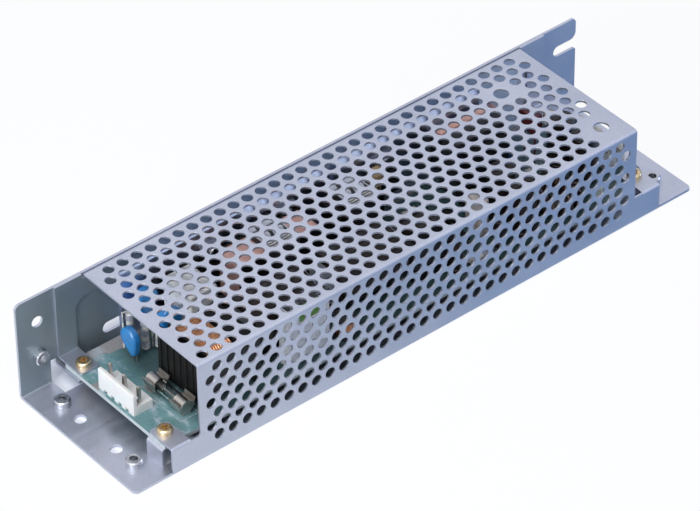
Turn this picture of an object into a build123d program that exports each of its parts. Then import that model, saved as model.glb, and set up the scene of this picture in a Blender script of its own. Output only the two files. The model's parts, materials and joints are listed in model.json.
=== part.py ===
from build123d import *
import os

# Mesh case switching power supply: an L-shaped steel chassis, a folded
# perforated cover screwed on over the circuit board, and the board's parts.
# Millimetres. X runs along the case, Y to the rear wall, Z up.
# The origin is at the middle of the underside of the case.

# Driving dimensions of the case.
CASE_L = 252.0        # chassis, ear to ear
CASE_W = 64.5         # front face of the cover to the back of the rear wall
CASE_H = 41.0
CHASSIS_T = 1.0       # sheet of the chassis
COVER_T = 0.8         # sheet of the cover
CHASSIS_BEND = 1.5    # outer radius of the long chassis fold
COVER_BEND = 1.3      # outer radius of the long cover folds
SMALL_BEND = 1.2      # outer radius of the tabs and board supports
CORNER_R = 2.0        # corners of the chassis sheet
TAB_CORNER_R = 1.2

FRONT = -CASE_W / 2
REAR = CASE_W / 2
END = CASE_L / 2
WALL_IN = REAR - CHASSIS_T          # inner face of the rear wall
COVER_IN = FRONT + COVER_T          # inner face of the cover's front side
BARE_END = 16.0                     # chassis left open beyond the cover
MOUTH = 12.0                        # open board between lip end and mesh box
LIP_END = END - BARE_END            # half length of the cover's lower lip
COVER_END = LIP_END - MOUTH         # half length of the perforated box

# Circuit board and its fixings. The board ends flush with the lip.
BOARD_L = 2 * LIP_END
FRONT_ROOM = 3.35                   # from the board's edge to the cover
REAR_ROOM = 4.35                    # from the board's edge to the wall
BOARD_FRONT = COVER_IN + FRONT_ROOM
BOARD_REAR = WALL_IN - REAR_ROOM
BOARD_W = BOARD_REAR - BOARD_FRONT
CASE_Y = (BOARD_FRONT + BOARD_REAR) / 2
BOARD_T = 1.6
BOARD_TOP = 10.0
BOARD_LOW = BOARD_TOP - BOARD_T
ROOM = CASE_H - COVER_T - BOARD_TOP  # free height over the board
SCREW_EDGE = 5.0                    # screws from the board's long edges
SCREW_X = LIP_END - 4.0
SCREW_Y = (BOARD_FRONT + SCREW_EDGE, BOARD_REAR - SCREW_EDGE)
SCREW_HEAD_D = 5.6
SCREW_HEAD_H = 2.0
SCREW_D = 2.9
SCREW_L = 6.5
TAPPED_D = 3.0                      # thread left as a plain bore
CLEAR_D = 3.4                       # screw holes in cover and board
TAB_W = 8.0
TAB_X = LIP_END - TAB_W             # inner edge of the cover's four tabs
TAB_PAST = 3.8                      # tab beyond the middle of its screw
TAB_REACH_FRONT = SCREW_Y[0] + TAB_PAST
TAB_REACH_REAR = SCREW_Y[1] - TAB_PAST
FLANGE_DEEP = 9.5                   # rear flange of the cover, between tabs
FLANGE_EASE = 3.0                   # its slanted ends
SHELF_OUT = LIP_END + 1.0           # outer edge of the board supports
SHELF_W = 10.0
SHELF_IN = SHELF_OUT - SHELF_W
LEG_W = 8.5                         # front supports, across the case
LEG_Y = TAB_REACH_FRONT - LEG_W
LANCE_L = 17.4                      # floor opening of a front support
RELIEF = 2.1                        # outside the rear supports
SHELF_FREE = 0.3                    # and on their inner side
LIP_FREE = 0.3                      # floor to the ends of the lower lip

# Perforation: staggered rows of round holes.
HOLE_D = 4.2
HOLE_PITCH = 6.0
ROW_PITCH = 5.0
END_MARGIN = 5.0                    # last hole to the end of the box
REAR_MARGIN = 3.15                  # first row to the rear fold
FRONT_MARGIN = 2.7                  # last row to the front fold
TOP_MARGIN = 4.0                    # first front row to the top face
LIP_MARGIN = 6.9                    # last front row to the lower edge
ACCESS_D = 5.7                      # larger holes over trimmer and lamp
ACCESS_CLEAR = 7.0                  # no small hole is nearer than this
TRIMMER_X = BOARD_L * 0.34318
TRIMMER_Y = CASE_Y + BOARD_W * 0.27636
LAMP_X = BOARD_L * 0.4073
LAMP_Y = CASE_Y - BOARD_W * 0.4
ACCESS = ((TRIMMER_X, TRIMMER_Y), (LAMP_X, LAMP_Y))


def steps(room, pitch):
    """How many whole pitches fit in a length."""
    return int(room / pitch + 0.001)


HOLES_IN_ROW = steps(2 * (COVER_END - END_MARGIN), HOLE_PITCH)
FIRST_HOLE_X = -HOLE_PITCH * (HOLES_IN_ROW - 1) / 2
TOP_ROW_Y = WALL_IN - COVER_BEND - REAR_MARGIN
TOP_ROWS = 1 + steps(TOP_ROW_Y - FRONT - COVER_BEND - FRONT_MARGIN,
                     ROW_PITCH)
SIDE_ROW_Z = CASE_H - TOP_MARGIN
SIDE_ROWS = 1 + steps(SIDE_ROW_Z - LIP_MARGIN, ROW_PITCH)

# Mounting features of the chassis.
MOUNT_X = END - 8.5
NUT_Y = 20.0                        # either side of CASE_Y
PLAIN_Y = 10.0
PLAIN_D = 4.5
NUT_BORE_D = 3.0
NUT_HEAD_D = 5.9
NUT_HEAD_H = 2.6
NUT_SHANK_D = 4.2
NUT_FIT = 0.02                      # gap all round in the pressed holes
EAR_HOLE_Z = CASE_H - 11.0
EAR_NUT_Z = EAR_HOLE_Z - 14.8
WALL_SLOT_L = 12.0
WALL_SLOT_H = 4.5
WALL_SLOT_X = 7.3 - COVER_END       # left end of the slot
WALL_SLOT_Z = 11.9

# Terminal headers, 3.96 mm pitch.
PITCH = 3.96
HEADER_OUT = LIP_END - 1.1          # outer face of the locking wall
HEADER_D = 8.0
HEADER_WALL = 1.4
HEADER_BASE_H = 3.6
HEADER_H = 8.8
HEADER_PIN = 1.14
PIN_BACK = 3.8                      # locking wall's face to the pins
PIN_FIT = 0.02
PIN_TOP = 10.4

LEAD_FIT = 0.1                      # gap round each lead in the board
LEAD_BELOW = 1.2                    # leads stand out under the board
SEAT = 0.05                         # free gap between fitted pieces

lead_spots = []                     # (x, y, radius) of every board hole


def block(x0, x1, y0, y1, z0, z1):
    """A box given by its six faces."""
    size = Box(x1 - x0, y1 - y0, z1 - z0)
    return Pos((x0 + x1) / 2, (y0 + y1) / 2, (z0 + z1) / 2) * size


def rod(x, y, z0, z1, d):
    """An upright cylinder."""
    return Pos(x, y, (z0 + z1) / 2) * Cylinder(d / 2, z1 - z0)


def rod_x(x0, x1, y, z, d):
    """A cylinder lying along X."""
    turn = Rot(0, 90, 0) * Cylinder(d / 2, x1 - x0)
    return Pos((x0 + x1) / 2, y, z) * turn


def rod_y(x, y0, y1, z, d):
    """A cylinder lying along Y."""
    turn = Rot(90, 0, 0) * Cylinder(d / 2, y1 - y0)
    return Pos(x, (y0 + y1) / 2, z) * turn


def mirrored(shape):
    """The shape together with its mirror image at the other end."""
    return shape + mirror(shape, about=Plane.YZ)


def along(share):
    """A place or length along the board, as a share of its length."""
    return share * BOARD_L


def across(share):
    """A length across the board, as a share of its width."""
    return share * BOARD_W


def row_at(share):
    """A place across the board, as a share of its width."""
    return CASE_Y + across(share)


def tall(share):
    """A height over the board, as a share of the room there."""
    return share * ROOM


def lead(x, y, top, d=0.7):
    """A component lead through the board, with its hole noted."""
    lead_spots.append((x, y, d / 2 + LEAD_FIT))
    return rod(x, y, BOARD_LOW - LEAD_BELOW, top, d)


def strip(points, thickness, bend, width, plane):
    """Sheet strip of a given width folded along a centre line."""
    path = FilletPolyline(*points, radius=bend - thickness / 2)
    folded = extrude(trace(path, thickness), width)
    return plane.location * folded


def sheet(outline, holes, thickness, plane):
    """Flat sheet cut to an outline with round holes (x, y, diameter)."""
    edge = Wire.make_polygon(outline, close=True)
    cuts = [Wire.make_circle(d / 2, Plane((x, y, 0))) for x, y, d in holes]
    flat = Solid.extrude(Face(edge, cuts), Vector(0, 0, thickness))
    return plane.location * flat


def grid_row(row):
    """X places of the holes in one row of the staggered pattern."""
    odd = row % 2
    start = FIRST_HOLE_X - odd * HOLE_PITCH / 2
    return [start + HOLE_PITCH * i for i in range(HOLES_IN_ROW + odd)]


def top_holes():
    """Round holes of the cover's top, thinned out at the access holes."""
    holes = [(x, y, ACCESS_D) for x, y in ACCESS]
    for row in range(TOP_ROWS):
        y = TOP_ROW_Y - ROW_PITCH * row
        for x in grid_row(row):
            gaps = [Vector(x - a, y - b).length
                    for a, b in ACCESS]
            if min(gaps) > ACCESS_CLEAR:
                holes.append((x, y, HOLE_D))
    return holes


def side_holes():
    """Round holes of the cover's front side."""
    return [(x, SIDE_ROW_Z - ROW_PITCH * row, HOLE_D)
            for row in range(SIDE_ROWS) for x in grid_row(row)]


def fold(y, z, quarter):
    """Quarter round of a long cover fold, about an X axis."""
    ring = Circle(COVER_BEND) - Circle(COVER_BEND - COVER_T)
    corner = Rectangle(COVER_BEND, COVER_BEND, align=(Align.MIN, Align.MIN))
    arc = ring & (Rot(0, 0, 90 * quarter) * corner)
    at = Plane(origin=(-COVER_END, y, z), x_dir=(0, 1, 0), z_dir=(1, 0, 0))
    return at.location * extrude(arc, 2 * COVER_END)


def make_cover():
    """Top, front side, rear flange and four tabs in one folded sheet."""
    top_z = CASE_H - COVER_T
    tab_z = BOARD_TOP + COVER_T
    bend_z = CASE_H - COVER_BEND
    y0, y1 = FRONT + COVER_BEND, WALL_IN - COVER_BEND
    e, lip, t = COVER_END, LIP_END, COVER_T
    top = sheet([(-e, y0), (e, y0), (e, y1), (-e, y1)], top_holes(), t,
                Plane.XY.offset(top_z))
    front_face = Plane.XZ.offset(-COVER_IN)
    low = tab_z - SMALL_BEND
    lip_z = tab_z - 0.2
    front = sheet(
        [(-lip, 0), (lip, 0), (lip, low), (TAB_X, low), (TAB_X, lip_z),
         (e, lip_z), (e, bend_z), (-e, bend_z), (-e, lip_z),
         (-TAB_X, lip_z), (-TAB_X, low), (-lip, low)],
        side_holes(), t, front_face)
    rear_face = Plane.XZ.offset(-WALL_IN)
    flange_z = CASE_H - FLANGE_DEEP
    ease_z, ease_x = flange_z - FLANGE_EASE, TAB_X - FLANGE_EASE
    foot = BOARD_TOP + SMALL_BEND
    nick = e + 0.6
    rear = sheet(
        [(-lip, foot), (-TAB_X, foot), (-TAB_X, ease_z),
         (-ease_x, flange_z), (ease_x, flange_z), (TAB_X, ease_z),
         (TAB_X, foot), (lip, foot), (lip, CASE_H), (nick, CASE_H),
         (nick, bend_z), (-nick, bend_z), (-nick, CASE_H),
         (-lip, CASE_H)],
        [], t, rear_face)
    shape = top + front + rear + fold(y0, bend_z, 1) + fold(y1, bend_z, 0)
    mid = tab_z - t / 2
    at = Plane(origin=(TAB_X, 0, 0), x_dir=(0, 1, 0), z_dir=(1, 0, 0))
    front_tab = strip(
        [(FRONT + t / 2, low - 1), (FRONT + t / 2, mid),
         (TAB_REACH_FRONT, mid)],
        t, SMALL_BEND, TAB_W, at)
    rear_tab = strip(
        [(WALL_IN - t / 2, foot + 1), (WALL_IN - t / 2, mid),
         (TAB_REACH_REAR, mid)], t, SMALL_BEND, TAB_W, at)
    tabs = mirrored(round_tab(front_tab) + round_tab(rear_tab))
    shape += tabs
    for y in SCREW_Y:
        shape -= mirrored(rod(SCREW_X, y, BOARD_TOP - 1, CASE_H - 5, CLEAR_D))
    return shape


def round_tab(tab):
    """Rounds the two free corners of a tab that lies on the board."""
    free = tab.edges().filter_by(Axis.Z)
    free = [e for e in free if e.length < 2 * COVER_T]
    free.sort(key=lambda e: abs(e.center().Y - CASE_Y))
    return fillet(free[:2], TAB_CORNER_R)


SHELF_ROOT = BOARD_LOW + 1.85       # where the rear shelf leaves the wall
FLOOR_NOTCH = 8.55                  # floor cut away below the rear shelf


def window_cut():
    """Opening left in wall and floor by the rear board support."""
    x0, x1 = SHELF_IN - SHELF_FREE, SHELF_OUT + RELIEF
    wall = block(x0, x1, WALL_IN - 1, REAR + 1, -1, SHELF_ROOT)
    floor = block(x0, x1, REAR - FLOOR_NOTCH, REAR + 1, -1, 2)
    return wall + floor


def make_chassis():
    """Floor and rear wall in one sheet, with lanced board supports."""
    t, r = CHASSIS_T, CHASSIS_BEND
    at = Plane(origin=(-END, 0, 0), x_dir=(0, 1, 0), z_dir=(1, 0, 0))
    shape = strip([(FRONT, t / 2), (REAR - t / 2, t / 2),
                   (REAR - t / 2, CASE_H)], t, r, CASE_L, at)
    corners = [e for e in shape.edges().filter_by(Axis.Z)
               if e.center().Y < FRONT + 1]
    corners += [e for e in shape.edges().filter_by(Axis.Y)
                if e.center().Z > CASE_H - 1]
    shape = fillet(corners, CORNER_R)
    # The front edge steps back behind the cover's lip, with a relief
    # notch at each end of the step.
    step = LIP_END + LIP_FREE
    shape -= block(-step, step, FRONT - 1, COVER_IN, -1, t + 1)
    shape -= mirrored(block(step - 1, step, FRONT - 1, COVER_IN
                            + LIP_FREE, -1, t + 1))
    shape -= mirrored(window_cut())
    shape += mirrored(rear_shelf() + front_support())
    # Lance openings of the front supports.
    lance = block(SHELF_OUT - LANCE_L, SHELF_OUT - SMALL_BEND, LEG_Y,
                  LEG_Y + LEG_W, -1, t + 0.5)
    shape -= mirrored(lance)
    for y in SCREW_Y:
        shape -= mirrored(rod(SCREW_X, y, BOARD_LOW - 3, BOARD_TOP, TAPPED_D))
    for side in (-1, 1):
        for y in (-NUT_Y, NUT_Y):
            shape -= rod(side * MOUNT_X, CASE_Y + y, -1, 3,
                         NUT_SHANK_D + 2 * NUT_FIT)
        for y in (-PLAIN_Y, PLAIN_Y):
            shape -= rod(side * MOUNT_X, CASE_Y + y, -1, 3, PLAIN_D)
        shape -= rod_y(side * MOUNT_X, WALL_IN - 1, REAR + 1, EAR_NUT_Z,
                       NUT_SHANK_D + 2 * NUT_FIT)
        shape -= rod_y(side * MOUNT_X, WALL_IN - 1, REAR + 1, EAR_HOLE_Z,
                       PLAIN_D)
    return shape - ear_slot() - wall_slot()


def ear_slot():
    """Open slot of the right ear, with a rounded mouth."""
    half = PLAIN_D / 2
    profile = Pos(END / 2 + MOUNT_X / 2, 0) * Rectangle(END - MOUNT_X,
                                                       PLAIN_D)
    profile += Pos(MOUNT_X, 0) * Circle(half)
    for side, mouth in ((1, 2.8), (-1, 1.0)):
        middle = side * (half + mouth / 2)
        flare = Pos(END, middle) * Rectangle(2 * mouth, mouth)
        flare -= Pos(END - mouth, side * (half + mouth)) * Circle(mouth)
        profile += flare
    at = Plane.XZ.offset(-REAR - 1)
    cut = extrude(Pos(0, EAR_HOLE_Z) * profile, CHASSIS_T + 2)
    return at.location * cut


def wall_slot():
    """Obround slot low in the rear wall."""
    profile = SlotOverall(WALL_SLOT_L, WALL_SLOT_H)
    middle = WALL_SLOT_X + WALL_SLOT_L / 2
    cut = extrude(Pos(middle, WALL_SLOT_Z) * profile, CHASSIS_T + 2)
    return Plane.XZ.offset(-REAR - 1).location * cut


def rear_shelf():
    """Support bent in from the rear wall, under the board."""
    t = CHASSIS_T
    at = Plane(origin=(SHELF_IN, 0, 0), x_dir=(0, 1, 0), z_dir=(1, 0, 0))
    shelf_z = BOARD_LOW - t / 2
    return strip([(REAR - t / 2, SHELF_ROOT), (REAR - t / 2, shelf_z),
                  (TAB_REACH_REAR, shelf_z)], t, SMALL_BEND, SHELF_W, at)


def front_support():
    """Leg lanced up from the floor, with a seat under the board."""
    t = CHASSIS_T
    low, high = t / 2, BOARD_LOW - t / 2
    leg_x = SHELF_OUT - t / 2
    at = Plane(origin=(0, LEG_Y + LEG_W, 0), x_dir=(1, 0, 0),
               z_dir=(0, -1, 0))
    return strip([(leg_x + 3, low), (leg_x, low), (leg_x, high),
                  (SHELF_IN, high)], t, SMALL_BEND, LEG_W, at)


def make_board():
    """The circuit board with a hole for every lead and screw."""
    t = BOARD_T
    x, y0, y1 = BOARD_L / 2, BOARD_FRONT, BOARD_REAR
    screws = [(s * SCREW_X, y, CLEAR_D) for s in (-1, 1) for y in SCREW_Y]
    leads = [(a, b, 2 * r) for a, b, r in lead_spots]
    return sheet([(-x, y0), (x, y0), (x, y1), (-x, y1)], screws + leads, t,
                 Plane.XY.offset(BOARD_LOW))


def pan_screw(x, y, under_head, length, d, head_d, head_h):
    """Pan head screw, pointing down, with a cross recess."""
    shank = rod(x, y, under_head - length, under_head, d)
    head = rod(x, y, under_head, under_head + head_h, head_d)
    head = fillet(head.edges().sort_by(Axis.Z)[-1], head_h * 0.45)
    w, span, deep = 0.9, head_d * 0.5, head_h * 0.6
    top = under_head + head_h + 1
    cross = block(x - span / 2, x + span / 2, y - w / 2, y + w / 2,
                  top - 1 - deep, top)
    cross += block(x - w / 2, x + w / 2, y - span / 2, y + span / 2,
                   top - 1 - deep, top)
    return head + shank - cross


def make_cover_screws():
    """Four screws through the cover's tabs and the board."""
    return [pan_screw(s * SCREW_X, y, BOARD_TOP + COVER_T, SCREW_L, SCREW_D,
                      SCREW_HEAD_D, SCREW_HEAD_H)
            for s in (-1, 1) for y in SCREW_Y]


def clinch_nut():
    """Press-in nut: shank in the sheet, head standing above it."""
    nut = rod(0, 0, CHASSIS_T, CHASSIS_T + NUT_HEAD_H, NUT_HEAD_D)
    nut = chamfer(nut.edges().sort_by(Axis.Z)[-1], 0.4)
    nut += rod(0, 0, 0, CHASSIS_T, NUT_SHANK_D)
    return nut - rod(0, 0, -1, CHASSIS_T + NUT_HEAD_H + 1, NUT_BORE_D)


def make_clinch_nuts():
    """Four nuts in the floor and two in the ears."""
    nuts = []
    for side in (-1, 1):
        for y in (-NUT_Y, NUT_Y):
            nuts.append(Pos(side * MOUNT_X, CASE_Y + y, 0) * clinch_nut())
        at = Plane(origin=(side * MOUNT_X, REAR, EAR_NUT_Z),
                   x_dir=(1, 0, 0), z_dir=(0, -1, 0))
        nuts.append(at.location * clinch_nut())
    return nuts


def header_places(ways, middle):
    """Y places of a header's positions."""
    return [middle + PITCH * (i - (ways - 1) / 2) for i in range(ways)]


def header_housing(ways, middle, pins):
    """Right-hand header: base, locking wall, foot notches, pin bores."""
    places = header_places(ways, middle)
    half = ways * PITCH / 2 - 0.1
    y0, y1 = middle - half, middle + half
    x1, x0 = HEADER_OUT, HEADER_OUT - HEADER_D
    z = BOARD_TOP
    wall_x = x1 - HEADER_WALL
    body = block(x0, x1, y0, y1, z, z + HEADER_BASE_H)
    body += block(wall_x, x1, y0, y1, z, z + HEADER_H)
    ridge = Polyline((wall_x, z + HEADER_H), (wall_x - 0.8, z + HEADER_H - 1.2),
                     (wall_x, z + HEADER_H - 2), close=True)
    at = Plane(origin=(0, y1, 0), x_dir=(1, 0, 0), z_dir=(0, -1, 0))
    body += at.location * extrude(make_face(ridge), y1 - y0)
    top = [e for e in body.edges().filter_by(Axis.Y)
           if e.center().Z > z + HEADER_H - 0.1 and e.center().X > x1 - 0.1]
    body = fillet(top, 0.5)
    for y in places[:-1]:
        gap = y + PITCH / 2
        body -= block(x1 - 0.7, x1 + 1, gap - 0.9, gap + 0.9, z, z + 1.2)
    pin_x, h = x1 - PIN_BACK, HEADER_PIN / 2 + PIN_FIT
    for y in pins:
        body -= block(pin_x - h, pin_x + h, y - h, y + h, z - 1, z + 6)
    return body


def header(ways, middle, every, flip):
    """One header: its housing and the pins in every so many places."""
    places = header_places(ways, middle)[::every]
    body = header_housing(ways, middle, places)
    x, h = HEADER_OUT - PIN_BACK, HEADER_PIN / 2
    pins = []
    for y in places:
        pin = block(x - h, x + h, y - h, y + h, BOARD_LOW - LEAD_BELOW,
                    BOARD_TOP + PIN_TOP)
        pins.append(chamfer(pin.edges().group_by(Axis.Z)[-1], 0.3))
        spot = -x if flip else x
        lead_spots.append((spot, y, h * 1.42 + 0.03))
    if flip:
        body = mirror(body, about=Plane.YZ)
        pins = [mirror(p, about=Plane.YZ) for p in pins]
    return body, pins


def make_fuse():
    """Glass fuse in two spring clips: tube, caps and clips."""
    x, y0 = along(-0.43), row_at(-0.367)
    z, length = BOARD_TOP + 3.6, 20.0
    tube_d, cap_d, cap_l, wall = 4.8, 5.2, 5.0, 0.2
    y1 = y0 + length
    tube = rod_y(x, y0 + wall, y1 - wall, z, tube_d)
    tube -= rod_y(x, y0 + wall, y1 - wall, z, tube_d - 1.2)
    wire = rod_y(x, y0 + wall, y1 - wall, z, 0.4)
    caps, clips = [], []
    for a, b in ((y0, y0 + cap_l), (y1 - cap_l, y1)):
        cap = rod_y(x, a, b, z, cap_d)
        inner = (a + wall, b + 1) if a == y0 else (a - 1, b - wall)
        caps.append(cap - rod_y(x, *inner, z, tube_d))
    for a, b in ((y0 + 0.2, y0 + 5.7), (y1 - 5.7, y1 - 0.2)):
        clips.append(fuse_clip(x, a, b, z, cap_d))
    return tube, wire, caps, clips


def fuse_clip(x, y0, y1, z, cap_d):
    """Spring clip: a round cradle with flared lips on a flat foot."""
    t = 0.4
    r = cap_d / 2
    cradle = Circle(r + t) - Circle(r)
    cradle -= Pos(0, r + 0.9) * Rectangle(2 * r + 2, r + 1.8)
    lip_y = 0.0
    for side in (-1, 1):
        lip = Polyline((side * r, lip_y), (side * (r + t), lip_y),
                       (side * (r + t + 0.9), lip_y + 2.4),
                       (side * (r + 0.9), lip_y + 2.4), close=True)
        cradle += make_face(lip)
    foot_low = BOARD_TOP - z
    cradle += Pos(0, (foot_low - r) / 2) * Rectangle(3.4, -foot_low - r)
    at = Plane(origin=(x, y1, z), x_dir=(1, 0, 0), z_dir=(0, -1, 0))
    clip = at.location * extrude(cradle, y1 - y0)
    for dy in (1.2, y1 - y0 - 1.2):
        clip += lead(x, y0 + dy, BOARD_TOP + 0.5, 1.0)
    return clip


def disc_capacitor(x, y, d, thick, low, along_y=True, lean=0):
    """Dipped ceramic disc on two leads, its neck at a height."""
    middle = Rot(0, 0, lean) * Pos(0, 1.4 + d / 2)
    drop = make_hull((middle * Circle(d / 2) + Circle(1.4)).edges())
    coat = extrude(drop, thick / 2, both=True)
    rim = coat.edges().filter_by(lambda e: e.length > 2.0)
    coat = fillet(rim, thick * 0.32)
    across_dir = (0, 1, 0) if along_y else (1, 0, 0)
    facing = (1, 0, 0) if along_y else (0, -1, 0)
    z = BOARD_TOP + low
    at = Plane(origin=(x, y, z), x_dir=across_dir, z_dir=facing)
    body = at.location * coat
    for s in (-1, 1):
        dx, dy = (0, s) if along_y else (s, 0)
        body += lead(x + dx, y + dy, z + 1.0, 0.6)
    return body


def make_disc_capacitors():
    """Blue safety capacitors at the input end."""
    return [disc_capacitor(along(-0.4127), row_at(0.247), 8.4, 3.2, 3.7,
                           lean=-22),
            disc_capacitor(along(-0.3641), row_at(0.142), 10.0, 4.0,
                           tall(0.34), along_y=False),
            disc_capacitor(along(-0.36), row_at(0.393), 9.4, 3.4,
                           tall(0.34), along_y=False)]


def choke(length, depth, high, back, leg, coil_grow, plane, closed=0):
    """Wound part on an E core: core, bobbin and coil, about the origin.

    The winding axis is local X, the flat of the core is local XY. The
    coil stands out above and below the core by coil_grow. A share of
    the winding, at the +X end, may lie under a moulded cover.
    """
    window_l = length - 2 * back
    window_d = (depth - leg - 2 * back) / 2
    core = Box(length, depth, high)
    for s in (-1, 1):
        y = s * (leg + window_d) / 2
        core -= Pos(0, y, 0) * Box(window_l, window_d, high + 1)
    core = chamfer(core.edges().filter_by(Axis.Z).group_by(Axis.X)[0],
                   0.6)
    wall, gap = 0.8, SEAT
    inner_y, inner_z = leg + 2 * gap, high + 2 * gap
    outer_y = leg + 2 * window_d - 2 * gap
    outer_z = high + 2 * coil_grow + 1.2
    tube = Box(window_l - 2 * gap, inner_y + 2 * wall, inner_z + 2 * wall)
    bobbin = tube
    for s in (-1, 1):
        x = s * (window_l / 2 - gap - wall / 2)
        bobbin += Pos(x, 0, 0) * Box(wall, outer_y, outer_z)
    coil_l = window_l - 2 * gap - 2 * wall
    hood_l = coil_l * closed
    if closed:
        hood = Box(hood_l, outer_y, outer_z)
        hood = fillet(hood.edges().filter_by(Axis.X), 1.0)
        bobbin += Pos((coil_l - hood_l) / 2, 0, 0) * hood
    bobbin -= Box(length, inner_y, inner_z)
    coil_l -= hood_l
    coil = Box(coil_l, outer_y - 0.6, outer_z - 1.2)
    coil = fillet(coil.edges().filter_by(Axis.X), 1.5)
    coil -= Box(coil_l + 1, inner_y + 2 * wall, inner_z + 2 * wall)
    coil = Pos(-hood_l / 2, 0, 0) * coil
    put = plane.location
    return put * core, put * bobbin, put * coil


def rails(x0, x1, y0, y1, top, pins, along_x=True):
    """Two foot rails of a bobbin with a row of pins under each."""
    w = 2.6
    feet = []
    for s in (0, 1):
        if along_x:
            a = y0 if s == 0 else y1 - w
            foot = block(x0, x1, a, a + w, BOARD_TOP, top)
            step = (x1 - x0) / pins
            spots = [(x0 + step * (i + 0.5), a + w / 2) for i in range(pins)]
        else:
            a = x0 if s == 0 else x1 - w
            foot = block(a, a + w, y0, y1, BOARD_TOP, top)
            step = (y1 - y0) / pins
            spots = [(a + w / 2, y0 + step * (i + 0.5)) for i in range(pins)]
        for px, py in spots:
            foot += lead(px, py, BOARD_TOP + 1, 0.8)
        feet.append(foot)
    return feet


def make_line_choke():
    """Line filter choke: half open copper coil, ribbed end plate."""
    x, y = along(-0.3455), row_at(-0.1745)
    length, depth, high = along(0.1091), across(0.444), 13.0
    z = BOARD_TOP + 11.5
    at = Plane(origin=(x, y, z))
    core, bobbin, coil = choke(length, depth, high, 2.0, 5.0, 3.0, at,
                               closed=0.35)
    plate_t, rib, ribs = 1.0, 0.5, 7
    face = x - length / 2
    plate = block(face - plate_t, face, y - depth / 2, y + depth / 2,
                  BOARD_TOP + 2.2, z + high / 2 + 3.6)
    for i in range(ribs):
        mid = y + depth * ((i + 0.5) / ribs - 0.5)
        plate += block(face - plate_t - rib, face - plate_t, mid - 0.5,
                       mid + 0.5, BOARD_TOP + 3.5, z + high / 2 + 2.4)
    bobbin += plate
    feet = rails(face, x + length / 2, y - depth / 2, y + depth / 2,
                 z - high / 2, 4, along_x=False)
    return core, bobbin, coil, feet


def make_pfc_choke():
    """Standing choke with a taped coil, its core over the top."""
    x, y = along(-0.141), row_at(0.251)
    length, deep, wide = across(0.327), tall(0.828), along(0.0545)
    at = Plane(origin=(x, y, BOARD_TOP + deep / 2), x_dir=(0, 1, 0),
               z_dir=(1, 0, 0))
    return choke(length, deep, wide, 2.4, 6.0, along(0.0536), at)


def make_main_transformer():
    """Standing output transformer, its coil hooded at the front."""
    x, y = along(0.2739), row_at(0.218)
    length, deep, wide = along(0.1068), tall(0.8), across(0.1455)
    grow, back = across(0.0727), 3.0
    z = BOARD_TOP + 1.2 + deep / 2
    at = Plane(origin=(x, y, z), x_dir=(1, 0, 0), z_dir=(0, -1, 0))
    core, bobbin, coil = choke(length, deep, wide, back, 4.4, grow, at)
    open_l = length - 2 * back - 2 * SEAT - 1.6
    front = y - wide / 2
    coil -= block(x - open_l, x + open_l, front - 2 * grow, front, 0,
                  CASE_H)
    deep_in = deep - 2 * back - 2 * SEAT
    bobbin += block(x - open_l / 2, x + open_l / 2, front - grow - 0.6,
                    front - SEAT - 0.8, z - deep_in / 2, z + deep_in / 2)
    feet = rails(x - length / 2, x + length / 2, front - grow, y + wide
                 / 2 + grow, BOARD_TOP + 1.2, 4)
    return core, bobbin, coil, feet


def make_driver_transformer():
    """Small transformer between the bulk capacitors and the controls."""
    x, y = along(0.0773), row_at(-0.18)
    length, depth, high = across(0.273), along(0.0818), 9.0
    z = BOARD_TOP + 10.5
    at = Plane(origin=(x, y, z), x_dir=(0, 1, 0), z_dir=(0, 0, 1))
    core, bobbin, coil = choke(length, depth, high, 2.2, 4.4, 4.0, at)
    feet = rails(x - depth / 2, x + depth / 2, y - length / 2,
                 y + length / 2, z - high / 2, 4)
    return core, bobbin, coil, feet


def box_capacitor(x0, x1, y0, y1, high, along_x):
    """Film capacitor in a moulded box with small stand-offs."""
    z0 = BOARD_TOP + 0.5
    body = block(x0, x1, y0, y1, z0, BOARD_TOP + high)
    body = fillet(body.edges().filter_by(Axis.Z), 0.8)
    body = chamfer(body.faces().sort_by(Axis.Z)[-1].edges(), 0.4)
    for cx in (x0 + 1, x1 - 1):
        for cy in (y0 + 1, y1 - 1):
            body += block(cx - 0.8, cx + 0.8, cy - 0.8, cy + 0.8,
                          BOARD_TOP, z0)
    mx, my = (x0 + x1) / 2, (y0 + y1) / 2
    for s in (-1, 1):
        if along_x:
            body += lead(mx + s * (x1 - x0 - 3) / 2, my, z0, 0.8)
        else:
            body += lead(mx, my + s * (y1 - y0 - 3) / 2, z0, 0.8)
    return body


def make_bulk_capacitors():
    """Two large electrolytics lying along the case: cans and sleeves."""
    cans, sleeves = [], []
    d, skin, y = across(0.4), 0.2, row_at(-0.12)
    z = BOARD_TOP + d / 2 + skin
    for x0, x1 in ((along(-0.277), along(-0.148)),
                   (along(-0.109), along(0.0227))):
        can = rod_x(x0, x1, y, z, d)
        can = fillet(can.edges(), 1.0)
        # The vent end faces the input; the leads leave the other end.
        for turn in (0, 60, 120):
            bar = Rot(turn, 0, 0) * Box(0.6, 12.0, 0.5)
            can -= Pos(x0, y, z) * bar
        for s in (-1, 1):
            tail = rod_x(x1 - 0.5, x1 + 1.9, y + 5 * s, z, 1.0)
            tail += lead(x1 + 1.5, y + 5 * s, z + 0.5, 1.0)
            can += tail
        cans.append(can)
        a, b = x0 - skin, x1 - 0.8
        skin_out = rod_x(a, b, y, z, d + 2 * skin)
        skin_out = fillet(skin_out.edges().sort_by(Axis.X)[0], 1.1)
        bare = rod_x(x0, x1 + 5, y, z, d)
        bare = fillet(bare.edges().sort_by(Axis.X)[0], 1.0)
        sleeve = skin_out - bare - rod_x(a - 1, b, y, z, d - 6)
        sleeves.append(sleeve)
    return cans, sleeves


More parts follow.
